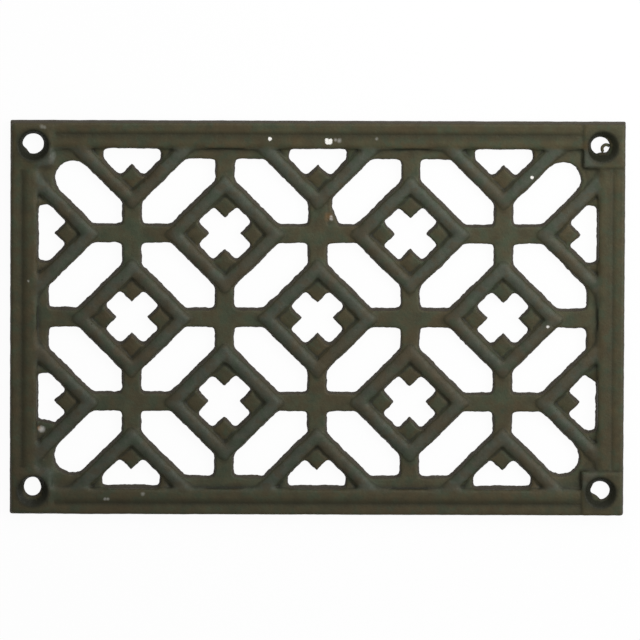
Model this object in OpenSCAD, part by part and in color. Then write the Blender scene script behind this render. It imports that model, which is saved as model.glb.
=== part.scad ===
// Cast iron vent grille: one flat casting with a moulded frame around an open lattice.
// The back is flat at z = 0 and the moulded face looks up, with X along the long side.
// Diamond rings with a round top stand on a grid of flat bars, and every opening widens towards
// the face, so that the casting can leave its mould.

/* [Plate] */
// Length of the plate along X
plate_w = 235; // [200:1:300]
// Height of the plate along Y
plate_h = 152.4; // [135:0.2:190]
// Thickness of the bed that the bars and the frame's foot share
bed_t = 4; // [3:0.1:6]
// Width of the bed between the plate's edge and the lattice
border_w = 11.1; // [9:0.1:14]
// Slope of the walls in every opening, in degrees
draft = 10; // [2:1:12]
// Slope of the plate's outer walls, in degrees
edge_draft = 4; // [1:1:8]

/* [Frame rails] */
// Thickness of the plate over the rails
rail_t = 5.5; // [5:0.1:8]
// Width of the two bands of a rail with the groove between them
rail_w = 10.1; // [8:0.1:12]
// Distance from the plate's edge to the middle of the groove
groove_x = 4.7; // [3:0.1:6]
// Width of the groove between the bands
groove_w = 1.2; // [0.6:0.1:2]
// Depth of the groove below the edges of the bands
groove_d = 0.7; // [0.2:0.05:0.9]
// How far each band rises between its edges
band_rise = 0.35; // [0.1:0.05:0.5]

/* [Corner pads] */
// Length of a corner pad along X
pad_w = 16.2; // [14:0.1:20]
// Length of a corner pad along Y
pad_h = 17.4; // [14:0.1:20]
// Thickness of the plate over a pad
pad_t = 5.7; // [5.2:0.1:9]
// Gap between a pad and the bands of a rail, down to the groove's level
pad_gap = 0.5; // [0.3:0.1:2]
// Chamfer around the top of a pad
pad_chamfer = 0.6; // [0.2:0.1:1]

/* [Screw holes] */
// Distance from the plate's end to the middle of a hole
hole_x = 8.8; // [7:0.1:10]
// Distance from the plate's long side to the middle of a hole
hole_y = 9.2; // [7:0.1:11]
// Diameter of the hole through a pad
hole_d = 7; // [4:0.1:8]
// Diameter of the countersink at the face
sink_d = 11.8; // [9:0.1:13]
// Depth of the countersink below the face
sink_depth = 2.5; // [1:0.1:4]

/* [Lattice] */
// Number of lattice cells along X
cols = 6; // [4:2:6]
// Number of lattice cells along Y
rows = 4; // [2:2:4]
// Width of a straight bar at the back
bar_w = 7.7; // [5:0.1:9]
// Clear width of a slot between two rings at the back
slot_w = 13.5; // [11:0.1:16]
// Radius in the corners of a slot
slot_r = 2.6; // [0.5:0.1:4]
// Distance from the lattice's corner to the middle of a corner slot's round end
corner_reach = 17.2; // [14.5:0.1:20]

/* [Diamond rings] */
// Width of a ring's arm at the back
arm_w = 7; // [5:0.1:8]
// Thickness of the plate over the ridge of a ring
ring_t = 5.2; // [4.5:0.1:8]
// Flat left beside the foot of a ring's round top
shoulder = 0.1; // [0.05:0.05:0.5]

/* [Studs] */
// Side of a square stud in the corner of a ring, at the back
stud_w = 6.3; // [4:0.1:7]
// Width of the groove between a stud and its ring
stud_groove_w = 1.1; // [0.5:0.1:2]
// Depth of the groove between a stud and its ring
stud_groove_d = 0.9; // [0.3:0.1:2]
// Radius in the corners of an opening beside the studs
stud_r = 2; // [0.5:0.1:3]

/* [Half openings] */
// Half length of an opening along the frame, where the frame cuts a ring in two
half_reach = 10.8; // [8:0.1:13]
// Radius in the corners of such an opening next to the frame
half_r = 2.4; // [0.5:0.1:3]

/* [Casting flash] */
// Thickness of the webs of flash that were left in three openings
flash_t = 3.7; // [1:0.1:4]
// Width of the web beside the vertical bar, in the slot above the middle
flash_side = 1.7; // [0.5:0.1:4]
// Height of the part of that web that spreads over the slot's corner
flash_up = 6.6; // [3:0.2:8]
// Length of the same web along the horizontal bar
flash_along = 5; // [3:0.2:8]
// How much of the end of a half opening the left-hand web closes, beside the frame
flash_left = 4.4; // [2:0.2:8]
// Turn of that web's free edge, in degrees
flash_left_turn = 14; // [0:1:40]
// How much of the end of a half opening the right-hand web closes, beside the frame
flash_right = 3.8; // [1:0.2:8]
// Turn of that web's free edge, in degrees
flash_right_turn = 33; // [0:1:40]

/* [Hidden] */
iron = "#46443a";
arc_steps = 4;
cut = 0.1;
lap = 0.6;
window_w = plate_w - 2 * border_w;
window_h = plate_h - 2 * border_w;
pitch_x = window_w / cols;
pitch_y = window_h / rows;
ring_out = (pitch_x + pitch_y) / 2 - slot_w / sqrt(2);
ring_in = ring_out - arm_w * sqrt(2);
arm_mid = (ring_out + ring_in) / 2 / sqrt(2);
arm_end = ring_in / sqrt(2);
arm_side = arm_end - stud_w;
crown_w = arm_w - 2 * (slope(bed_t) + shoulder);
full_h = max(rail_t, pad_t, ring_t) + cut;
$fn = 64;

// Sideways growth of a drafted opening at height z
function slope(z) = z * tan(draft);

// Points of an outline, moved out by grow, with corner i rounded to radii[i]
function outline(points, radii, grow) =
    let (n = len(points), wide = [for (i = [0:n - 1]) moved_corner(points, i, grow)])
    [for (i = [0:n - 1])
        each rounded_corner(wide[(i + n - 1) % n], wide[i], wide[(i + 1) % n], radii[i], grow)];

function unit(v) = v / norm(v);
function side_normal(a, b) = let (d = unit(b - a)) [d.y, -d.x];

function moved_corner(points, i, grow) =
    let (
        n = len(points),
        before = side_normal(points[(i + n - 1) % n], points[i]),
        after = side_normal(points[i], points[(i + 1) % n])
    )
    points[i] + grow * (before + after) / (1 + before * after);

function rounded_corner(before, here, after, radius, grow) =
    radius == 0 ? [here] :
    let (
        r = radius + grow,
        e1 = unit(before - here),
        e2 = unit(after - here),
        half = acos(e1 * e2) / 2,
        centre = here + unit(e1 + e2) * r / sin(half),
        start = here + e1 * r / tan(half) - centre
    )
    [for (k = [0:arc_steps])
        let (turn = (180 - 2 * half) * k / arc_steps)
        centre + [start.x * cos(turn) - start.y * sin(turn), start.x * sin(turn) + start.y * cos(turn)]];

// A cutter for one opening, narrow at the back and wider at the face. Every corner of the opening
// can be seen from the middle point, so its two caps are fans of triangles around that point.
module drafted_cut(points, radii, middle = [0, 0]) {
    low = outline(points, radii, slope(-cut));
    high = outline(points, radii, slope(full_h));
    n = len(low);
    polyhedron(
        points = concat(
            [for (p = low) [p.x, p.y, -cut]],
            [for (p = high) [p.x, p.y, full_h]],
            [[middle.x, middle.y, -cut], [middle.x, middle.y, full_h]]
        ),
        faces = [
            for (i = [0:n - 1])
                let (next = (i + 1) % n)
                each [[2 * n, i, next], [2 * n + 1, n + next, n + i], [i, n + i, n + next, next]]
        ]
    );
}

// A slot between two rings, centred, with rings at the lower left and the upper right
module slot() {
    x = pitch_x / 2 - bar_w / 2;
    y = pitch_y / 2 - bar_w / 2;
    s = slot_w / sqrt(2);
    drafted_cut([[y - s, -y], [x, -y], [x, s - x], [s - y, y], [-x, y], [-x, x - s]],
        [for (i = [1:6]) slot_r]);
}

// A slot next to a corner pad, with its round end at the lower right
module corner_slot() {
    x = pitch_x / 2 - bar_w / 2;
    y = pitch_y / 2 - bar_w / 2;
    s = slot_w / sqrt(2);
    reach = ((pitch_x + pitch_y) / 2 - corner_reach * sqrt(2)) / 2;
    drafted_cut([[reach, -reach - s], [reach + s, -reach], [s - y, y], [-x, y], [-x, x - s]],
        [slot_w / 2 - cut / 10, slot_w / 2 - cut / 10, slot_r, slot_r, slot_r]);
}

// A plain cross stands where no ring does, counted from the lattice's lower left corner
function is_ring(i, j) = (i + j) % 2 == 1;

module slots() {
    for (i = [0:cols - 1], j = [0:rows - 1]) {
        at_corner = (i == 0 || i == cols - 1) && (j == 0 || j == rows - 1);
        flip_x = at_corner ? i == 0 : !is_ring(i, j);
        flip_y = at_corner && j > 0;
        translate([(i + 0.5) * pitch_x - window_w / 2, (j + 0.5) * pitch_y - window_h / 2, 0])
            mirror([flip_x ? 1 : 0, 0, 0])
            mirror([0, flip_y ? 1 : 0, 0])
                if (at_corner) corner_slot();
                else slot();
    }
}

// The opening inside a whole ring: a cross between four studs
module star_cut() {
    a = arm_end;
    b = arm_side;
    rotate([0, 0, 45])
        drafted_cut(
            [[a, -b], [a, b], [b, b], [b, a], [-b, a], [-b, b],
             [-a, b], [-a, -b], [-b, -b], [-b, -a], [b, -a], [b, -b]],
            [for (i = [1:4]) each [stud_r, stud_r, 0]]
        );
}

// The opening inside half a ring: its long side lies along the frame and one stud faces it
module half_cut() {
    side_x = (arm_end - arm_side) / sqrt(2);
    side_y = (arm_end + arm_side) / sqrt(2);
    tip = arm_side * sqrt(2);
    drafted_cut(
        [[-half_reach, 0], [half_reach, 0], [half_reach, ring_in - half_reach], [side_x, side_y],
         [0, tip], [-side_x, side_y], [-half_reach, ring_in - half_reach]],
        [half_r, half_r, half_r, stud_r, 0, stud_r, half_r],
        [0, tip / 2]
    );
}

// Places its children at every ring, turned so that +Y points into the lattice at the frame
module at_rings(inside, at_frame) {
    for (i = [0:cols], j = [0:rows])
        if (is_ring(i, j)) {
            on_frame = i == 0 || i == cols || j == 0 || j == rows;
            turn = j == 0 ? 0 : j == rows ? 180 : i == 0 ? -90 : i == cols ? 90 : 0;
            if (on_frame ? at_frame : inside)
                translate([i * pitch_x - window_w / 2, j * pitch_y - window_h / 2, 0])
                    rotate([0, 0, turn]) children();
        }
}

// A square loop of four straight runs with mitred corners, at distance r from its middle
module mitred_loop(r) {
    reach = 2 * r;
    for (turn = [0:90:270])
        rotate([0, 0, turn])
            intersection() {
                cube([reach, reach, full_h]);
                rotate([0, 0, 45])
                    translate([r, reach, 0])
                        rotate([90, 0, 0]) linear_extrude(2 * reach) children();
            }
}

// Section of a ring's round top, sunk a little into the bed
module crown_section() {
    rise = ring_t - bed_t;
    radius = (pow(crown_w / 2, 2) + pow(rise, 2)) / (2 * rise);
    intersection() {
        translate([0, ring_t - radius]) circle(radius);
        translate([-crown_w / 2, bed_t - lap]) square([crown_w, rise + 2 * lap]);
    }
}

module stud_groove_section() {
    half = stud_groove_w / 2;
    polygon([[0, bed_t - stud_groove_d], [half, bed_t], [half, full_h - cut], [-half, full_h - cut], [-half, bed_t]]);
}

// The part of space that the lattice's mouldings may fill, up to a lap into the rails
module lattice_box() {
    box_w = plate_w - 2 * rail_w + 2 * lap;
    box_h = plate_h - 2 * rail_w + 2 * lap;
    translate([-box_w / 2, -box_h / 2, 0]) cube([box_w, box_h, full_h]);
}

module ring_crowns() {
    at_rings(true, false) mitred_loop(arm_mid) crown_section();
    intersection() {
        at_rings(false, true) mitred_loop(arm_mid) crown_section();
        lattice_box();
    }
}

module stud_grooves() {
    groove_mid = arm_mid - crown_w / 2 - stud_groove_w / 2;
    at_rings(true, false) mitred_loop(groove_mid) stud_groove_section();
    intersection() {
        at_rings(false, true) mitred_loop(groove_mid) stud_groove_section();
        lattice_box();
    }
}

// One crowned band of a rail, from x0 to x1 across the rail
module band_section(x0, x1) {
    half = (x1 - x0) / 2;
    radius = (pow(half, 2) + pow(band_rise, 2)) / (2 * band_rise);
    intersection() {
        translate([x0 + half, rail_t - radius]) circle(radius, $fn = 180);
        translate([x0, bed_t - lap]) square([2 * half, rail_t]);
    }
}

// A rail along the lower edge of a plate of this length and height: its bands stop short of the
// pads, and the shelf under them runs on into the pads
module rail(length, height, pad) {
    between = length - 2 * pad;
    shelf = rail_t - band_rise - groove_d;
    translate([0, -height / 2, 0]) rotate([90, 0, 90]) {
        linear_extrude(between + 2 * lap, center = true)
            translate([0, bed_t - lap]) square([rail_w, shelf - bed_t + lap]);
        linear_extrude(between - 2 * pad_gap, center = true) {
            band_section(0, groove_x - groove_w / 2);
            band_section(groove_x + groove_w / 2, rail_w);
        }
    }
}

module rails() {
    for (turn = [0, 180]) {
        rotate([0, 0, turn]) rail(plate_w, plate_h, pad_w);
        rotate([0, 0, turn + 90]) rail(plate_h, plate_w, pad_h);
    }
}

// A corner pad with chamfered edges, seen from its outer corner at the origin
module pad() {
    c = pad_chamfer;
    difference() {
        translate([0, 0, bed_t - lap]) cube([pad_w, pad_h, pad_t - bed_t + lap]);
        for (x = [0, pad_w])
            translate([x, pad_h / 2, pad_t]) rotate([0, 45, 0])
                cube([c * sqrt(2), pad_h + 2 * cut, c * sqrt(2)], center = true);
        for (y = [0, pad_h])
            translate([pad_w / 2, y, pad_t]) rotate([45, 0, 0])
                cube([pad_w + 2 * cut, c * sqrt(2), c * sqrt(2)], center = true);
    }
}

// Places its children at the four corners, mirrored so that +X and +Y point inwards
module at_corners() {
    for (mx = [0, 1], my = [0, 1])
        mirror([mx, 0, 0]) mirror([0, my, 0])
            translate([-plate_w / 2, -plate_h / 2, 0]) children();
}

// A hole whose countersink keeps its slope a little way past the face
module screw_hole() {
    past = 1 + cut / sink_depth;
    translate([hole_x, hole_y, 0]) {
        translate([0, 0, -cut]) cylinder(d = hole_d, h = full_h + 2 * cut);
        translate([0, 0, pad_t - sink_depth])
            cylinder(d1 = hole_d, d2 = hole_d + (sink_d - hole_d) * past, h = sink_depth * past);
    }
}

// A web over the corner of a slot. The origin is where the slot's two walls would meet.
module corner_web() {
    root = slope(bed_t) + lap;
    wall = slot_w / sqrt(2) + (pitch_y - pitch_x) / 2;
    top = root + wall + flash_side + arm_w / 2;
    translate([-root, -root, 0])
        linear_extrude(flash_t, scale = 1 - slope(flash_t) / (root + flash_along))
            polygon([
                [0, 0],
                [root + flash_along, 0],
                [root + flash_side, root + flash_up],
                [root + flash_side, top],
                [0, top]
            ]);
}

// A web in the end of a half opening. The origin is at that end on the frame, with +X into the
// lattice and +Y along the frame, and the web's free edge comes closer to the end away from the frame.
module end_web(closed, turn) {
    root = slope(bed_t) + lap;
    width = ring_in - half_reach + closed + root;
    height = root + closed;
    translate([-root, -root, 0])
        linear_extrude(flash_t, scale = 1 - slope(flash_t) / height)
            intersection() {
                square([width, height]);
                translate([0, height]) rotate(-turn)
                    translate([-height, -2 * width]) square([2 * width + height, 2 * width]);
            }
}

// Webs of iron that filled the ends of three openings in the mould
module flash() {
    cross_y = is_ring(cols / 2, rows / 2) ? pitch_y : 0;
    half_y = rows > 2 ? -pitch_y : 0;
    translate([bar_w / 2, cross_y + bar_w / 2, 0]) corner_web();
    translate([-window_w / 2, half_y - half_reach, 0]) end_web(flash_left, flash_left_turn);
    translate([window_w / 2, half_y + half_reach, 0])
        rotate([0, 0, 180]) end_web(flash_right, flash_right_turn);
}

// The block that the plate's sloping outer walls enclose
module outer_block() {
    inset = 2 * full_h * tan(edge_draft);
    linear_extrude(full_h, scale = [1 - inset / plate_w, 1 - inset / plate_h], slices = 1)
        square([plate_w, plate_h], center = true);
}

// The flat bed under the frame and the lattice, with the grooves around the studs already cut
module bed() {
    difference() {
        intersection() {
            translate([-plate_w / 2, -plate_h / 2, 0]) cube([plate_w, plate_h, bed_t]);
            outer_block();
        }
        stud_grooves();
    }
}

// The rails and pads on the bed's border
module frame() {
    intersection() {
        union() {
            rails();
            at_corners() pad();
        }
        outer_block();
    }
}

module grille() {
    color(iron) {
        difference() {
            union() {
                bed();
                frame();
                ring_crowns();
            }
            slots();
            at_rings(true, false) star_cut();
            at_rings(false, true) half_cut();
            at_corners() screw_hole();
        }
        flash();
    }
}

grille();
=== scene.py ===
import math

import bmesh
import bpy
import numpy as np
from mathutils import Matrix, Vector


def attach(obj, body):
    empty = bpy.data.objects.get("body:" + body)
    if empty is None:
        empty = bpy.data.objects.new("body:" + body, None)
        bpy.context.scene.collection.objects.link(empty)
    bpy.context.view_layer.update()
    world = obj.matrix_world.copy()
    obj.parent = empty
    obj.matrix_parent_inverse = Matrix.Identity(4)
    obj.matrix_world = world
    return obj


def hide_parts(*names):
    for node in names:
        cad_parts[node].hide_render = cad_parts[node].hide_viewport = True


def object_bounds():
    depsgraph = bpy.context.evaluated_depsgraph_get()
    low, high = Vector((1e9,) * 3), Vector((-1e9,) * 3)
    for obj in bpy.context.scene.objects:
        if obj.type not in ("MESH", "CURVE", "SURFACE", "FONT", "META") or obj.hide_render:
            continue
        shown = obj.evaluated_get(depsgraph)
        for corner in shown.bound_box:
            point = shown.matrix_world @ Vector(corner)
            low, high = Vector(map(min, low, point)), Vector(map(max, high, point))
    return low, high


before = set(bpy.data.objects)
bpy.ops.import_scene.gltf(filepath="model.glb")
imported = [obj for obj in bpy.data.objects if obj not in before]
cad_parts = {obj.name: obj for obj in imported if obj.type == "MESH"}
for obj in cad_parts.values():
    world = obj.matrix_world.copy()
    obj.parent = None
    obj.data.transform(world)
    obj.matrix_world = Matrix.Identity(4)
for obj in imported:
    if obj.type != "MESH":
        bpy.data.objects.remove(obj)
cadLow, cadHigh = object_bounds()
print("frame loaded")

tiny = 1e-6  # metres that don't count
ways = ((1, 0), (-1, 0), (0, 1), (0, -1))


def toLinear(hexColour):  # by the sRGB curve
    channels = [int(hexColour[i:i + 2], 16) / 255 for i in (1, 3, 5)]
    return [c / 12.92 if c <= 0.04045 else ((c + 0.055) / 1.055) ** 2.4 for c in channels] + [1.0]


def addNode(tree, kind, settings=None, links=None):
    node = tree.nodes.new(kind)
    for name, value in (settings or {}).items():  # a setting of the node itself comes before its sockets
        if isinstance(name, str) and hasattr(node, name):
            setattr(node, name, value)
        else:
            node.inputs[name].default_value = value
    for name, source in (links or {}).items():
        tree.links.new(source, node.inputs[name])
    return node


def newMaterial(name):
    material = bpy.data.materials.new(name)
    material.use_nodes = True
    material.node_tree.nodes.clear()
    return material, material.node_tree


def addObject(name, data):
    thing = bpy.data.objects.new(name, data)
    bpy.context.scene.collection.objects.link(thing)
    return thing


# Camera: a long lens, a little above and to the left of the grille, which fills the width of the frame.
view = {
    "above": 9.5,       # degrees from straight on, towards +Y
    "left": 0.5,        # degrees from straight on, towards -X
    "roll": 0.26,       # degrees
    "distance": 8.0,    # from much farther, with its lens, views from other sides come out empty
    "aim": (0.00105, -0.0011, 0.0),
    "lens": 1176.9,     # millimetres, as is the sensor
    "sensor": 36,
    "farthest": 50,     # metres that it sees
}

camera = addObject("camera", bpy.data.cameras.new("camera"))
bpy.context.scene.camera = camera
camera.data.lens = view["lens"]
camera.data.sensor_width = view["sensor"]
camera.data.clip_end = view["farthest"]
left, above, roll = [math.radians(view[turn]) for turn in ("left", "above", "roll")]
towards = Vector((-math.tan(left), math.tan(above), 1)).normalized()
across = Vector((0, 1, 0)).cross(towards).normalized()
across, upward = (across * math.cos(roll) + towards.cross(across) * math.sin(roll),
                  towards.cross(across) * math.cos(roll) - across * math.sin(roll))
placed = Matrix((across, upward, towards)).transposed().to_4x4()
placed.translation = Vector(view["aim"]) + towards * view["distance"]
camera.matrix_world = placed
print("camera placed")


# Places of the moulded form, in metres.
mould = {
    "cells": (6, 4),
    "pitch": (0.035467, 0.03255),
    "bed": 0.004,                     # top of the flat bars
    "railWidth": 0.0101,
    "railTop": 0.0054,
    "groove": 0.0047,                 # from the plate's edge to the middle of the groove in a rail
    "pad": (0.0172, 0.0184),          # a corner pad, its gap and a little more
    "gap": 0.00075,                   # from there back to the middle of the gap
    "elbow": 0.0205,                  # from a ring's middle to the crest of an elbow
    "studGroove": 0.0150,             # from a ring's middle to the grooves behind its studs
    "pockets": (0.0127, 0.0250),      # from a cut ring's middle, along the rail, to its hollows there
    "holeInset": (0.0088, 0.0092),
    "bore": 0.0035,
    "mouth": 0.0061,                  # radius of a screw hole's countersink, a little past its rim
}

# The casting: one skin over the whole solid, with the soft arrises and slightly straying edges that a sand
# mould gives, and with the wear since. Lengths are in metres and heights are above the bed. Where a pair is
# marked as a span, there is none of the thing at its first value and all of it at its second.
casting = {
    "grid": 0.00042,                  # between points of the first skin
    "softening": 5,                   # passes, each takes a little more off an arris
    "smoothing": 0.5,                 # strength of each pass
    "faces": 190000,
    "fade": 0.001,                    # over which the work on a rail or beside a hole fades out
    "facing": (0.2, 0.5),             # span of the skin's upward normal that counts as a face
    "upper": (-0.0003, -0.0001),      # span of heights for the upper side, which leaves the walls alone
    "proud": (-0.0001, 0.0002),       # span of heights for the rings

    "wander": 0.0006,                 # full swing of an edge of an opening
    "wanderLengths": (0.0042, 0.0055),
    "nick": 0.0004,                   # full swing of the small nicks in the same edges
    "nickLengths": (0.0013, 0.0016),
    "steadyRail": 0.25,               # share of both that the straight rails take
    "swell": 0.00016,                 # full swing of the faces, up and down
    "swellLength": 0.011,

    "calm": 0.7,                      # how far the sand levelled the bands and the groove of each rail
    "calmRise": (0.0003, 0.0005),     # span of heights that it reached
    "calmMargins": (0.001, 0.0006),   # what it left at the outer and the inner side of a rail
    "grooveEnd": (0.0013, 0.0011),    # half the width and the length of the groove's end, levelled in the gap
    "grooveSides": (0.0016, 0.0026),  # from the groove's middle to where its outer and inner sides come level
    "grooveSpread": 2.5,              # how broadly the passes take the groove, 1 is only its middle
    "groovePasses": 12,

    "elbowPasses": 40,                # the rings' elbows ran rounder in the sand than their arms
    "elbowSpan": (0.0055, 0.00275),   # span around the crest of an elbow
    "studPasses": 12,
    "studSpan": (0.0018, 0.0006),     # span around the grooves behind the studs
    "pocketPasses": 40,
    "pocketSpan": (0.0042, 0.0021),   # span around the hollows where a ring runs into a rail

    # corners of the openings, pulled out sharper than the moulded radius: where they are, and how far out
    "barCorner": (0.00385, 0.00053, 0.0005),    # from a crossing's middle, back out to the skin, the pull
    "starCorner": (0.00445, 0.0097, 0.00035),   # across and along a ring's axis from its middle, the pull
    "frameCorner": (0.0101, 0.0007, 0.0005),    # along the rail and away from it, from a cut ring's middle
    "cornerReach": 0.0013,

    "padPasses": 60,
    "padSteps": 20,                   # of weight, fine enough for the share below
    "padSpan": (0.004, 0.001),        # span past a pad on the left, which is worn
    "crispPads": 0.1,                 # share of the passes that the two pads on the right take
    "crispFoot": (0.0002, 0.001),     # height where that share begins, over a rail and beside one
    "crispRise": 0.0003,              # from there to where it is full
    "crispRail": 0.0096,              # width of a rail that counts for it

    "reliefPasses": 30,
    "reliefDepth": 0.0003,            # what counts as fully proud, or as fully sunk
}

# The four screw holes: how far each bore has worn or run off its true place, and the iron left in them.
# Sizes are in metres; a lump is an ellipsoid given from the hole's middle, turned about Z in degrees.
holes = {
    "wear": {                         # side in X and Y: extra radius in X and in Y, shift in X and in Y
        (-1, 1): (0.00055, 0.00055, 0.0, 0.0002),
        (1, 1): (0.0001, 0.0001, -0.001, 0.0),
        (-1, -1): (-0.0002, 0.0003, 0.0, 0.0014),
        (1, -1): (0.0002, 0.0002, -0.0002, 0.0005),
    },
    "lumps": (                        # side in X, side in Y, place, radii, turn
        (-1, 1, (-0.0029, -0.0029, 0.0016), (0.0024, 0.0014, 0.0014), -58),
        (1, 1, (0.0005, -0.0035, 0.0014), (0.0023, 0.0011, 0.0012), 5),
        (1, -1, (-0.0023, -0.0031, 0.0018), (0.0030, 0.0017, 0.0015), -36),
    ),
    "curl": {                         # a burr of iron that curls off the wall of one hole
        "side": (1, 1),
        "place": (0.0013, -0.0012, 0.0018),
        "radius": 0.0016,
        "thickness": 0.00062,
        "turn": (40, 225),            # degrees about Z, from and to
        "sides": 12,
        "steps": 24,
    },
}


def pointsOf(mesh):
    flat = np.empty(len(mesh.vertices) * 3)
    mesh.vertices.foreach_get("co", flat)
    return flat.reshape(-1, 3)


def movePoints(piece, points):
    piece.data.vertices.foreach_set("co", points.ravel())


def normalsOf(mesh):
    flat = np.empty(len(mesh.vertices) * 3)
    mesh.vertex_normals.foreach_get("vector", flat)
    return flat.reshape(-1, 3)


def rise(values, none, full):  # 0 at the first value, 1 at the second, and on beyond both
    return (values - none) / (full - none)


def span(values, none, full):
    return np.clip(rise(values, none, full), 0, 1)


def height(points):
    return points[:, 2] - mould["bed"]


def edgeDistance(points):
    return np.minimum(cadHigh.x - np.abs(points[:, 0]), cadHigh.y - np.abs(points[:, 1]))


def pastPads(points):
    return (np.array(cadHigh[:2]) - np.abs(points[:, :2]) - mould["pad"]).max(1)


def spotDistance(points, spots):
    near = np.full(len(points), np.inf)
    for spot in spots:
        near = np.minimum(near, np.linalg.norm(points[:, :2] - spot, axis=1))
    return near


def holeMiddle(side):
    return [s * (high - inset) for s, high, inset in zip(side, cadHigh, mould["holeInset"])]


def holeDistance(points):
    return spotDistance(points, [holeMiddle(side) for side in holes["wear"]])


def crossings(parity):
    # of the bars' middle lines: a ring lies round each crossing of parity 1, plain bars meet at the others
    (cols, rows), (pitchX, pitchY) = mould["cells"], mould["pitch"]
    return np.array([((i - cols / 2) * pitchX, (j - rows / 2) * pitchY)
                     for i in range(cols + 1) for j in range(rows + 1) if (i + j) % 2 == parity])


def ringDistance(points):
    # the way along X plus the way along Y, which is the same all along the arms of a ring
    return np.abs(points[:, None, :2] - crossings(1)[None]).sum(2).min(1)


def addModifier(piece, kind, **settings):
    modifier = piece.modifiers.new(kind.lower(), kind)
    for name, value in settings.items():
        setattr(modifier, name, value)
    return modifier


def addWeights(piece, name, values, steps=8):
    group = piece.vertex_groups.new(name=name)
    rounded = np.rint(np.clip(values, 0, 1) * steps).astype(int)
    for step in range(1, steps + 1):
        group.add(np.flatnonzero(rounded == step).tolist(), step / steps, "REPLACE")


def smoothPart(piece, name, values, passes, steps=8):
    addWeights(piece, name, values, steps)
    addModifier(piece, "SMOOTH", factor=casting["smoothing"], iterations=passes, vertex_group=name)


def settle(piece):
    bpy.context.view_layer.update()
    rough = piece.data
    piece.data = bpy.data.meshes.new_from_object(piece.evaluated_get(bpy.context.evaluated_depsgraph_get()))
    piece.modifiers.clear()
    piece.vertex_groups.clear()
    bpy.data.meshes.remove(rough)


def addLumps(solid):
    for sideX, sideY, place, radii, turn in holes["lumps"]:
        x, y = holeMiddle((sideX, sideY))
        where = Matrix.Translation((x + place[0], y + place[1], place[2]))
        shape = Matrix.Rotation(math.radians(turn), 4, "Z") @ Matrix.Diagonal((*radii, 1))
        bmesh.ops.create_icosphere(solid, subdivisions=3, radius=1.0, matrix=where @ shape)


def softSkin():
    solid = bmesh.new()
    solid.from_mesh(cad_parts["grille"].data)
    bmesh.ops.remove_doubles(solid, verts=solid.verts, dist=tiny)
    addLumps(solid)
    mesh = bpy.data.meshes.new("casting")
    solid.to_mesh(mesh)
    solid.free()
    piece = addObject("casting", mesh)
    addModifier(piece, "REMESH", mode="VOXEL", voxel_size=casting["grid"], use_smooth_shade=True)
    addModifier(piece, "SMOOTH", factor=casting["smoothing"], iterations=casting["softening"])
    settle(piece)
    return piece


def nearGroove(points):
    off = edgeDistance(points) - mould["groove"]
    outer, inner = casting["grooveSides"]
    return np.clip(1 - np.maximum(-off / outer, off / inner), 0, 1) * (pastPads(points) > 0)


def calmRails(piece):
    points = pointsOf(piece.data)
    edge = edgeDistance(points)
    top = span(height(points), *casting["calmRise"])
    outer, inner = casting["calmMargins"][0], mould["railWidth"] - casting["calmMargins"][1]
    across = span(edge, outer, outer + casting["fade"]) * span(edge, inner, inner - casting["fade"])
    halfWidth, length = casting["grooveEnd"]
    start = np.where(np.abs(edge - mould["groove"]) < halfWidth, -length, 0)
    share = casting["calm"] * top * across * (pastPads(points) > start)
    points[:, 2] += share * (mould["railTop"] - points[:, 2])
    movePoints(piece, points)
    broad = np.clip(casting["grooveSpread"] * nearGroove(points), 0, 1)
    smoothPart(piece, "grooves", broad * top, casting["groovePasses"])


def openingCorners():
    # place, way out and pull of every corner that two straight sides of an opening make
    edges = crossings(0).max(0)
    corners = []
    for middle in crossings(0):
        inward, back, pull = casting["barCorner"]
        for side in ((1, 1), (1, -1), (-1, 1), (-1, -1)):
            place = middle + np.array(side) * (inward + back)
            if (np.abs(place) < edges).all() and (np.abs(middle) < edges - tiny).any():
                corners.append((place, -np.array(side) / math.sqrt(2), pull))
    for middle in crossings(1):
        across, along, pull = casting["starCorner"]
        cut = np.abs(middle) > edges - tiny
        for way in np.array(ways):
            if cut.any() and not (cut * way * middle < 0).any():
                continue
            for side in (across, -across):
                corners.append((middle + way * along + way[::-1] * side, way, pull))
        if cut.any():
            inward = -np.sign(middle) * cut
            along, away, pull = casting["frameCorner"]
            for side in (1, -1):
                out = side * inward[::-1]
                corners.append((middle + out * along + inward * away, (out - inward) / math.sqrt(2), pull))
    return corners


def sharpenOpenings(piece):
    points = pointsOf(piece.data)
    moved = points[:, :2].copy()
    for place, way, pull in openingCorners():
        near = np.exp(-((points[:, :2] - place) ** 2).sum(1) / casting["cornerReach"] ** 2)
        moved += pull * near[:, None] * way
    points[:, :2] = moved
    movePoints(piece, points)


def meltElbows(piece):
    points = pointsOf(piece.data)
    elbows = [middle + mould["elbow"] * np.array(way) for middle in crossings(1) for way in ways]
    near = rise(spotDistance(points, elbows), *casting["elbowSpan"])
    smoothPart(piece, "elbows", span(height(points), *casting["proud"]) * near, casting["elbowPasses"])


def meltStuds(piece):
    points = pointsOf(piece.data)
    near = rise(np.abs(ringDistance(points) - mould["studGroove"]), *casting["studSpan"])
    facing = span(normalsOf(piece.data)[:, 2], *casting["facing"])
    smoothPart(piece, "studs", facing * near, casting["studPasses"])


def fillPockets(piece):
    points = pointsOf(piece.data)
    middles = crossings(1)
    edges = crossings(0).max(0)
    pockets = []
    for axis, along in enumerate(np.array(((0, 1), (1, 0)))):
        cut = middles[np.abs(middles[:, axis]) > edges[axis] - tiny]
        for reach in mould["pockets"]:
            pockets += [*(cut + reach * along), *(cut - reach * along)]
    near = rise(spotDistance(points, pockets), *casting["pocketSpan"])
    smoothPart(piece, "pockets", span(height(points), *casting["upper"]) * near, casting["pocketPasses"])


def wornPads(points, right=0.0):
    return np.where(points[:, 0] < 0, 1, right) * span(pastPads(points), *casting["padSpan"])


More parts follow.
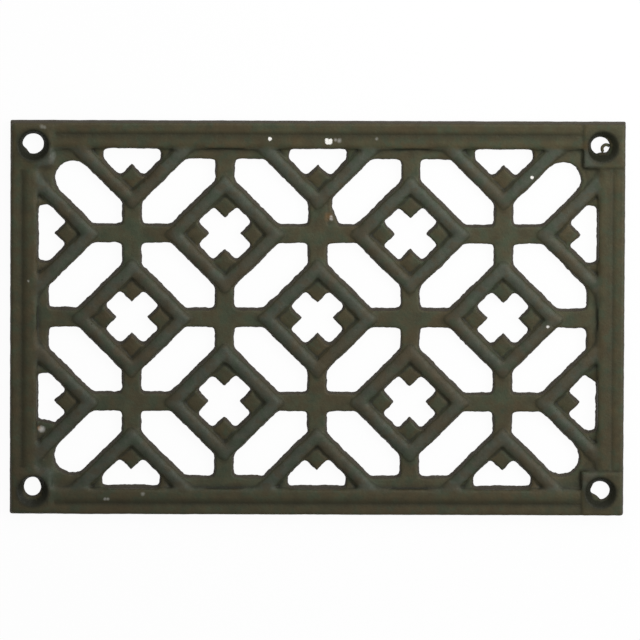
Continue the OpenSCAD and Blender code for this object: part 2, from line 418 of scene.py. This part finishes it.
def meltPads(piece):
    points = pointsOf(piece.data)
    foot = np.where(edgeDistance(points) < casting["crispRail"], *casting["crispFoot"])
    raised = span(height(points), foot, foot + casting["crispRise"])
    crisp = casting["crispPads"] * (pastPads(points) < 0) * raised
    worn = wornPads(points) * span(height(points), *casting["upper"])
    outside = span(holeDistance(points), mould["mouth"], mould["mouth"] + casting["fade"])
    smoothPart(piece, "pads", np.maximum(crisp, worn) * outside, casting["padPasses"], casting["padSteps"])


def wearHoles(piece):
    points = pointsOf(piece.data)
    for side, (widerX, widerY, shiftX, shiftY) in holes["wear"].items():
        away = points[:, :2] - holeMiddle(side)
        far = np.linalg.norm(away, axis=1)
        share = span(far, mould["mouth"], mould["bore"])[:, None]
        points[:, :2] += share * (away / np.maximum(far, tiny)[:, None] * (widerX, widerY) + (shiftX, shiftY))
    movePoints(piece, points)


def addCurl(piece):
    curl = holes["curl"]
    x, y = holeMiddle(curl["side"])
    middle = Vector((x + curl["place"][0], y + curl["place"][1], curl["place"][2]))
    begins, ends = curl["turn"]
    start = Matrix.Translation(middle) @ Matrix.Rotation(math.radians(begins), 4, "Z") \
        @ Matrix.Translation((curl["radius"], 0, 0)) @ Matrix.Rotation(math.pi / 2, 4, "X")
    burr = bmesh.new()
    bmesh.ops.create_circle(burr, cap_ends=True, segments=curl["sides"], radius=curl["thickness"],
                            matrix=start)
    bmesh.ops.spin(burr, geom=burr.faces[:] + burr.edges[:] + burr.verts[:], cent=middle, axis=(0, 0, 1),
                   angle=math.radians(ends - begins), steps=curl["steps"], use_duplicate=False)
    bmesh.ops.recalc_face_normals(burr, faces=burr.faces)
    for face in burr.faces:
        face.smooth = True
    burrMesh = bpy.data.meshes.new("burr")
    burr.to_mesh(burrMesh)
    burr.clear()
    burr.from_mesh(piece.data)
    burr.from_mesh(burrMesh)
    burr.to_mesh(piece.data)
    burr.free()


def displace(piece, name, direction, size, group):
    clouds = bpy.data.textures.new(name + direction, "CLOUDS")
    clouds.noise_scale = size
    clouds.noise_depth = 1
    addModifier(piece, "DISPLACE", direction=direction, strength=casting[name], mid_level=0.5,
                texture=clouds, texture_coords="LOCAL", vertex_group=group)


def strayEdges(piece):
    points = pointsOf(piece.data)
    addWeights(piece, "upper", np.where(points[:, 2] > casting["grid"], 1, 0))
    inside = span(edgeDistance(points), mould["railWidth"], mould["railWidth"] + casting["fade"])
    addWeights(piece, "edges", casting["steadyRail"] + (1 - casting["steadyRail"]) * inside)
    for name in ("wander", "nick"):
        for direction, size in zip("XY", casting[name + "Lengths"]):
            displace(piece, name, direction, size, "edges")
    displace(piece, "swell", "Z", casting["swellLength"], "upper")
    addModifier(piece, "DECIMATE", ratio=casting["faces"] / (2 * len(piece.data.polygons)),
                use_collapse_triangulate=True)
    settle(piece)
    movePoints(piece, np.clip(pointsOf(piece.data), cadLow, cadHigh))  # the frame's box holds every point
    piece.data.update()


# Where each mark of colour on the iron lies, dirt and painted shade among them: spans, in metres past the
# place that its comment names.
marks = {
    "rail": (0.0006, -0.0006),        # the inner side of a rail
    "grooveSpread": 1.3,              # how broadly the dirt and painted shade fill the groove, 1 is only its middle
    "grooveRight": 0.5,               # share of them on the right rail
    "gap": (0.001, 0.0),              # the middle of the gap beside a pad on the right, with dirt and painted shade
    "wall": (0.7, 0.4),               # no length: the upright share of the skin's normal, which takes the walls' painted shade
    "wallBelow": 0.0002,              # height above the bed over which a steep face is a ring's, not a wall
    "wallEdge": 0.0008,               # except this close to the plate's edge
    "stud": (0.0, -0.0008),           # the grooves behind the studs
    "mouth": (0.0011, -0.0003),       # the mouth of a screw hole
    "bore": (-0.0002, 0.0002),        # its bore
    "wornRight": 0.45,                # how faint the dirt and painted shade lie around the right pads, against the left ones
}


def markPoints(piece, name, values):
    piece.data.attributes.new(name, "FLOAT", "POINT").data.foreach_set("value", values)


def markRelief(piece):
    # how far each point stands proud of the same skin smoothed flat, for the dirt and painted shade in the
    # hollows
    flattened = addObject("flattened", piece.data.copy())
    addModifier(flattened, "SMOOTH", factor=casting["smoothing"], iterations=casting["reliefPasses"])
    settle(flattened)
    proud = ((pointsOf(piece.data) - pointsOf(flattened.data)) * normalsOf(piece.data)).sum(1)
    markPoints(piece, "relief", np.clip(proud / casting["reliefDepth"], -1, 1) / 2 + 0.5)
    bpy.data.objects.remove(flattened)


def markPlaces(piece):
    points = pointsOf(piece.data)
    edge = edgeDistance(points)
    markPoints(piece, "rail", span(edge - mould["railWidth"], *marks["rail"]))
    # dirt and painted shade along the rail grooves and in the gaps beside the right pads
    kept = np.where(points[:, 0] > cadHigh.x - mould["railWidth"], marks["grooveRight"], 1)
    grooveDirtAndShade = kept * np.clip(marks["grooveSpread"] * nearGroove(points), 0, 1)
    gaps = (points[:, 0] > 0) * span(np.abs(pastPads(points) + mould["gap"]), *marks["gap"])
    markPoints(piece, "groove", np.maximum(grooveDirtAndShade, gaps))
    # the upright walls, for their painted shade
    moulded = (height(points) > marks["wallBelow"]) & (edge > marks["wallEdge"])
    upright = np.abs(normalsOf(piece.data)[:, 2])
    markPoints(piece, "wall", np.where(moulded, 0, span(upright, *marks["wall"])))
    markPoints(piece, "stud", span(ringDistance(points) - mould["studGroove"], *marks["stud"]))
    markPoints(piece, "worn", wornPads(points, marks["wornRight"]))
    # the screw holes, for their painted shade
    far = holeDistance(points)
    rim = span(far - mould["mouth"], *marks["mouth"])
    markPoints(piece, "sink", rim * span(far - mould["bore"], *marks["bore"]))


grille = softSkin()
print("skin made:", len(grille.data.polygons), "faces")
calmRails(grille)
sharpenOpenings(grille)
meltElbows(grille)
meltStuds(grille)
fillPockets(grille)
meltPads(grille)
settle(grille)
wearHoles(grille)
addCurl(grille)
print("wear and burrs made")
markRelief(grille)
strayEdges(grille)
markPlaces(grille)
print("casting finished:", len(grille.data.polygons), "faces")


# Grey cast iron as it leaves a sand mould, under a thin film of oxide: dull and faintly grainy, olive brown
# on the flat bars, the studs and the frame, with a painted sheen of cooler grey where the rings stand proud,
# dirt and painted shade darkest in the grooves, painted shade in the screw holes, on the walls, at the
# rings' feet and towards the lower left, with no bright metal.
ironLook = {
    "bed": "#474833",
    # painted sheen: the cooler grey that the rings take where they stand proud
    "ring": "#484c40",
    "ringRise": (0.0002, 0.0008),     # metres above the bed over which the one turns into the other
    "footShadeRise": (0.0001, 0.0002, 0.0006),  # where painted shade at a ring's foot begins, peaks and ends, above the bed
    "coats": (  # colour, what it follows, none and all of that, most that it covers, share left on worn pads
        ("#403f29", "stud", 0.0, 1.0, 1.0, 1.0),
        ("#46442e", "rail", 0.0, 1.0, 1.0, 1.0),
        ("#4b3f28", "patch", 0.47, 0.62, 0.55, 1.0),    # browner oxide
        ("#4b3f28", "tint", 0.5, 0.62, 0.45, 1.0),
        ("#3a4835", "tint", 0.48, 0.36, 0.5, 1.0),      # greener oxide
        # dirt and painted shade along the rail grooves and in the gaps beside the right pads
        ("#2b2914", "groove", 0.0, 1.0, 0.7, 1.0),
        # painted shade at the foot of each ring
        ("#2c2d1b", "foot", 0.0, 1.0, 0.65, 0.2),
        ("#1d1e10", "relief", 0.5, 0.26, 0.9, 0.3),     # dirt and painted shade in the hollows
        # painted shade on the upright walls
        ("#453f33", "wall", 0.0, 1.0, 1.0, 1.0),
        # painted shade in the screw holes
        ("#1f200f", "sink", 0.0, 1.0, 1.0, 1.0),
    ),
    "patterns": {                     # metres across, detail, roughness
        "patch": (0.03, 3.0, 0.6),
        "tint": (0.0055, 2.0, 0.6),
        "mottle": (0.005, 3.0, 0.6),
        "grain": (0.0011, 2.0, 0.5),  # sand grains are 0.2 to 0.3 mm, drawn coarser so that they show at all
    },
    "patternRange": (0.3, 0.7),       # of a pattern's values, nearly all of them
    "mottleShade": (0.85, 1.15),
    "lowerLeftShade": 0.74,        # painted shade, darker towards the lower left: share of the colour left in the darkest, lower left corner
    "lowerLeftShadeLean": (3.4, 8.0, 0.0),
    "roughness": 0.6,
    "roughnessSwing": 0.06,
    "wallRoughness": 0.9,
    "metallic": 0.2,     # none on the walls
    "specular": 0.35,
    "bump": 0.5,
    "bumpDepth": 0.0002,
}

# Splashes of lime and spots of rust, with a painted glint of both on the centre web: place and radius in
# metres, and how much of the iron each one hides.
specks = {
    "stray": 0.0006,     # full swing of a speck's outline
    "strayLength": 0.0008,
    "core": 0.7,         # share of the radius that a speck fills evenly
    "rim": (1.5, 0.4),   # radii to where it ends, and how much sooner where it hides all
    "limeAndGlint": ("#f6f4ee", (
        (0.0036, 0.0685, 0.0054, 0.0009, 1.0), (0.0045, 0.0685, 0.0054, 0.0009, 1.0),
        (0.0033, 0.0694, 0.0054, 0.0008, 1.0), (0.0047, 0.0692, 0.0054, 0.0008, 1.0),
        (-0.0184, 0.0698, 0.0054, 0.0008, 1.0), (0.0066, 0.0695, 0.0054, 0.0006, 0.25),
        (0.0080, 0.0692, 0.0054, 0.0008, 0.25),
        (0.0223, 0.0699, 0.0054, 0.0006, 0.2), (-0.1054, 0.0743, 0.0055, 0.0008, 0.15),
        (-0.1045, 0.0741, 0.0055, 0.0007, 0.15), (-0.1012, 0.0634, 0.0045, 0.0010, 0.08),
        (-0.1016, 0.0625, 0.0045, 0.0013, 0.09), (-0.1020, 0.0613, 0.0045, 0.0012, 0.06),
        (0.0817, 0.0551, 0.0050, 0.0007, 1.0), (0.0881, -0.0026, 0.0050, 0.0006, 0.8),
        (-0.1105, 0.0145, 0.0055, 0.0004, 0.3), (-0.1052, -0.0431, 0.0037, 0.0012, 0.4),
        # the two on the next line are a painted glint on the centre web
        (0.0051, 0.0396, 0.0040, 0.0006, 0.4), (0.0052, 0.0386, 0.0040, 0.0007, 0.4),
        (-0.0810, -0.0699, 0.0052, 0.0006, 0.25), (-0.0799, -0.0699, 0.0052, 0.0006, 0.25),
        (-0.0665, -0.0679, 0.0054, 0.0007, 0.2),
    )),
    "rustAndGlint": ("#77562c", (
        # the two on the next line are a painted glint on the centre web
        (0.0040, 0.0397, 0.0040, 0.0014, 0.45), (0.0036, 0.0388, 0.0040, 0.0012, 0.3),
        (-0.0085, 0.0686, 0.0054, 0.0028, 0.12), (0.1020, 0.0675, 0.0055, 0.0018, 0.15),
        (-0.1062, -0.0427, 0.0037, 0.0009, 0.6), (0.1133, -0.0350, 0.0055, 0.0025, 0.12),
    )),
}


def specksAndGlint(tree, place, spots):
    outline = addNode(tree, "ShaderNodeTexNoise",
                      {"Scale": 1 / specks["strayLength"], "Detail": 1.0, "Roughness": 0.6},
                      {"Vector": place})
    strayed = addNode(tree, "ShaderNodeVectorMath", {"operation": "MULTIPLY_ADD", 1: (specks["stray"],) * 3},
                      {0: outline.outputs["Color"], 2: place}).outputs[0]
    half = specks["stray"] / 2
    farthest, sooner = specks["rim"]
    total = None
    for x, y, z, radius, hiding in spots:
        far = addNode(tree, "ShaderNodeVectorMath",
                      {"operation": "DISTANCE", 1: (x + half, y + half, z + half)}, {0: strayed})
        spot = addNode(tree, "ShaderNodeMapRange",
                       {"From Min": radius * specks["core"] * hiding,
                        "From Max": radius * (farthest - sooner * hiding), "To Min": hiding, "To Max": 0.0},
                       {"Value": far.outputs["Value"]}).outputs["Result"]
        total = spot if total is None else addNode(tree, "ShaderNodeMath", {"operation": "MAXIMUM"},
                                                   {0: total, 1: spot}).outputs[0]
    return total


def castIron():
    material, tree = newMaterial("sand cast grey iron")
    place = addNode(tree, "ShaderNodeTexCoord").outputs["Object"]
    found = {mark: addNode(tree, "ShaderNodeAttribute", {"attribute_name": mark}).outputs["Fac"]
             for mark in ("relief", "rail", "groove", "wall", "stud", "worn", "sink")}
    for pattern, (size, detail, rough) in ironLook["patterns"].items():
        found[pattern] = addNode(tree, "ShaderNodeTexNoise",
                                 {"Scale": 1 / size, "Detail": detail, "Roughness": rough},
                                 {"Vector": place}).outputs["Fac"]

    level = addNode(tree, "ShaderNodeSeparateXYZ", None, {"Vector": place}).outputs["Z"]
    # painted shade at a ring's foot, by height above the bed
    begins, peaks, ends = [mould["bed"] + step for step in ironLook["footShadeRise"]]
    sides = [addNode(tree, "ShaderNodeMapRange", {"From Min": none, "From Max": peaks}, {"Value": level})
             for none in (begins, ends)]
    found["foot"] = addNode(tree, "ShaderNodeMath", {"operation": "MINIMUM"},
                            {0: sides[0].outputs["Result"], 1: sides[1].outputs["Result"]}).outputs[0]

    # painted sheen: the colour turns to the cooler ring grey as the rings rise from the bed
    foot, crest = [mould["bed"] + step for step in ironLook["ringRise"]]
    proud = addNode(tree, "ShaderNodeMapRange", {"From Min": foot, "From Max": crest}, {"Value": level})
    colour = addNode(tree, "ShaderNodeMix",
                     {"data_type": "RGBA", 6: toLinear(ironLook["bed"]), 7: toLinear(ironLook["ring"])},
                     {0: proud.outputs["Result"]}).outputs[2]
    for coat, mark, none, full, most, leftOnWorn in ironLook["coats"]:
        cover = addNode(tree, "ShaderNodeMapRange", {"From Min": none, "From Max": full, "To Max": most},
                        {"Value": found[mark]}).outputs["Result"]
        if leftOnWorn < 1:
            spared = addNode(tree, "ShaderNodeMapRange", {"To Min": 1.0, "To Max": leftOnWorn},
                             {"Value": found["worn"]}).outputs["Result"]
            cover = addNode(tree, "ShaderNodeMath", {"operation": "MULTIPLY"},
                            {0: cover, 1: spared}).outputs[0]
        colour = addNode(tree, "ShaderNodeMix", {"data_type": "RGBA", 7: toLinear(coat)},
                         {0: cover, 6: colour}).outputs[2]

    low, high = ironLook["patternRange"]
    darkest, palest = ironLook["mottleShade"]
    mottled = addNode(tree, "ShaderNodeMapRange",
                      {"From Min": low, "From Max": high, "To Min": darkest, "To Max": palest},
                      {"Value": found["mottle"]})
    # painted shade: the colour darkens towards the lower left corner
    lean = addNode(tree, "ShaderNodeVectorMath",
                   {"operation": "DOT_PRODUCT", 1: ironLook["lowerLeftShadeLean"]}, {0: place})
    lowerLeftShade = addNode(tree, "ShaderNodeMapRange",
                   {"From Min": -1.0, "From Max": 1.0, "To Min": ironLook["lowerLeftShade"], "To Max": 1.0},
                   {"Value": lean.outputs["Value"]})
    shade = addNode(tree, "ShaderNodeMath", {"operation": "MULTIPLY"},
                    {0: mottled.outputs["Result"], 1: lowerLeftShade.outputs["Result"]})
    colour = addNode(tree, "ShaderNodeVectorMath", {"operation": "SCALE"},
                     {0: colour, "Scale": shade.outputs[0]}).outputs[0]
    # stains, and the painted glint on the centre web
    for stainAndGlint, spots in (specks["rustAndGlint"], specks["limeAndGlint"]):
        colour = addNode(tree, "ShaderNodeMix", {"data_type": "RGBA", 7: toLinear(stainAndGlint)},
                         {0: specksAndGlint(tree, place, spots), 6: colour}).outputs[2]

    uneven = addNode(tree, "ShaderNodeMath", {"operation": "ADD"}, {0: found["mottle"], 1: found["grain"]})
    bump = addNode(tree, "ShaderNodeBump", {"Strength": ironLook["bump"], "Distance": ironLook["bumpDepth"]},
                   {"Height": uneven.outputs[0]})
    least, most = [ironLook["roughness"] + swing * ironLook["roughnessSwing"] for swing in (-1, 1)]
    grainy = addNode(tree, "ShaderNodeMapRange",
                     {"From Min": low, "From Max": high, "To Min": least, "To Max": most},
                     {"Value": found["grain"]})
    walls = addNode(tree, "ShaderNodeMapRange", {"To Max": ironLook["wallRoughness"]},
                    {"Value": found["wall"]})
    rough = addNode(tree, "ShaderNodeMath", {"operation": "MAXIMUM"},
                    {0: grainy.outputs["Result"], 1: walls.outputs["Result"]})
    metal = addNode(tree, "ShaderNodeMapRange", {"To Min": ironLook["metallic"], "To Max": 0.0},
                    {"Value": found["wall"]})
    shader = addNode(tree, "ShaderNodeBsdfPrincipled", {"Specular IOR Level": ironLook["specular"]},
                     {"Base Color": colour, "Normal": bump.outputs["Normal"],
                      "Metallic": metal.outputs["Result"], "Roughness": rough.outputs[0]})
    addNode(tree, "ShaderNodeOutputMaterial", None, {"Surface": shader.outputs["BSDF"]})
    return material


grille.data.materials.clear()
grille.data.materials.append(castIron())
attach(grille, "root")
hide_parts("grille")
print("iron finished")


# Stage: a matt white board that runs past the frame on every side, under a soft light from the right and a
# weaker one from above.
stage = {
    "board": 12.0,         # metres across
    "paint": "#f4f4f4",
    "boardWhite": 0.95,    # share of its white that a shadow can't dim
    "sky": 0.36,           # strength of the light from all round
    "lamps": (             # place, size in metres, power in watts
        ((0.52, 0.10, 0.52), 0.42, 3.2),
        ((0.04, 0.34, 0.36), 0.30, 0.85),
    ),
}


def whiteBoard():
    material, tree = newMaterial("matt white board")
    rays = addNode(tree, "ShaderNodeLightPath").outputs
    seen = rays["Is Camera Ray"]
    for ray in ("Is Glossy Ray", "Is Transmission Ray"):
        seen = addNode(tree, "ShaderNodeMath", {"operation": "MAXIMUM"}, {0: seen, 1: rays[ray]}).outputs[0]
    share = addNode(tree, "ShaderNodeMath", {"operation": "MULTIPLY", 1: stage["boardWhite"]}, {0: seen})
    paint = addNode(tree, "ShaderNodeBsdfDiffuse", {"Color": toLinear(stage["paint"])})
    white = addNode(tree, "ShaderNodeEmission", {"Color": toLinear("#ffffff"), "Strength": 1.0})
    mixed = addNode(tree, "ShaderNodeMixShader", None,
                    {0: share.outputs[0], 1: paint.outputs[0], 2: white.outputs[0]})
    addNode(tree, "ShaderNodeOutputMaterial", None, {"Surface": mixed.outputs[0]})
    return material


ground = bmesh.new()
bmesh.ops.create_grid(ground, x_segments=1, y_segments=1, size=stage["board"] / 2,
                      matrix=Matrix.Translation((0, 0, cadLow.z)))
boardMesh = bpy.data.meshes.new("board")
ground.to_mesh(boardMesh)
ground.free()
board = addObject("board", boardMesh)
board.data.materials.append(whiteBoard())

world = bpy.data.worlds.new("white room")
bpy.context.scene.world = world
world.use_nodes = True
world.node_tree.nodes.clear()
rays = addNode(world.node_tree, "ShaderNodeLightPath").outputs
strength = addNode(world.node_tree, "ShaderNodeMapRange", {"To Min": stage["sky"], "To Max": 1.0},
                   {"Value": rays["Is Camera Ray"]})
sky = addNode(world.node_tree, "ShaderNodeBackground", {"Color": toLinear("#ffffff")},
              {"Strength": strength.outputs["Result"]})
addNode(world.node_tree, "ShaderNodeOutputWorld", None, {"Surface": sky.outputs[0]})

for place, size, power in stage["lamps"]:
    lamp = addObject("soft light", bpy.data.lights.new("soft light", "AREA"))
    lamp.data.shape = "SQUARE"
    lamp.data.size = size
    lamp.data.energy = power
    lamp.location = place
    lamp.rotation_euler = Vector(place).to_track_quat("Z", "Y").to_euler()
bpy.context.scene.view_settings.view_transform = "Standard"
print("stage set")
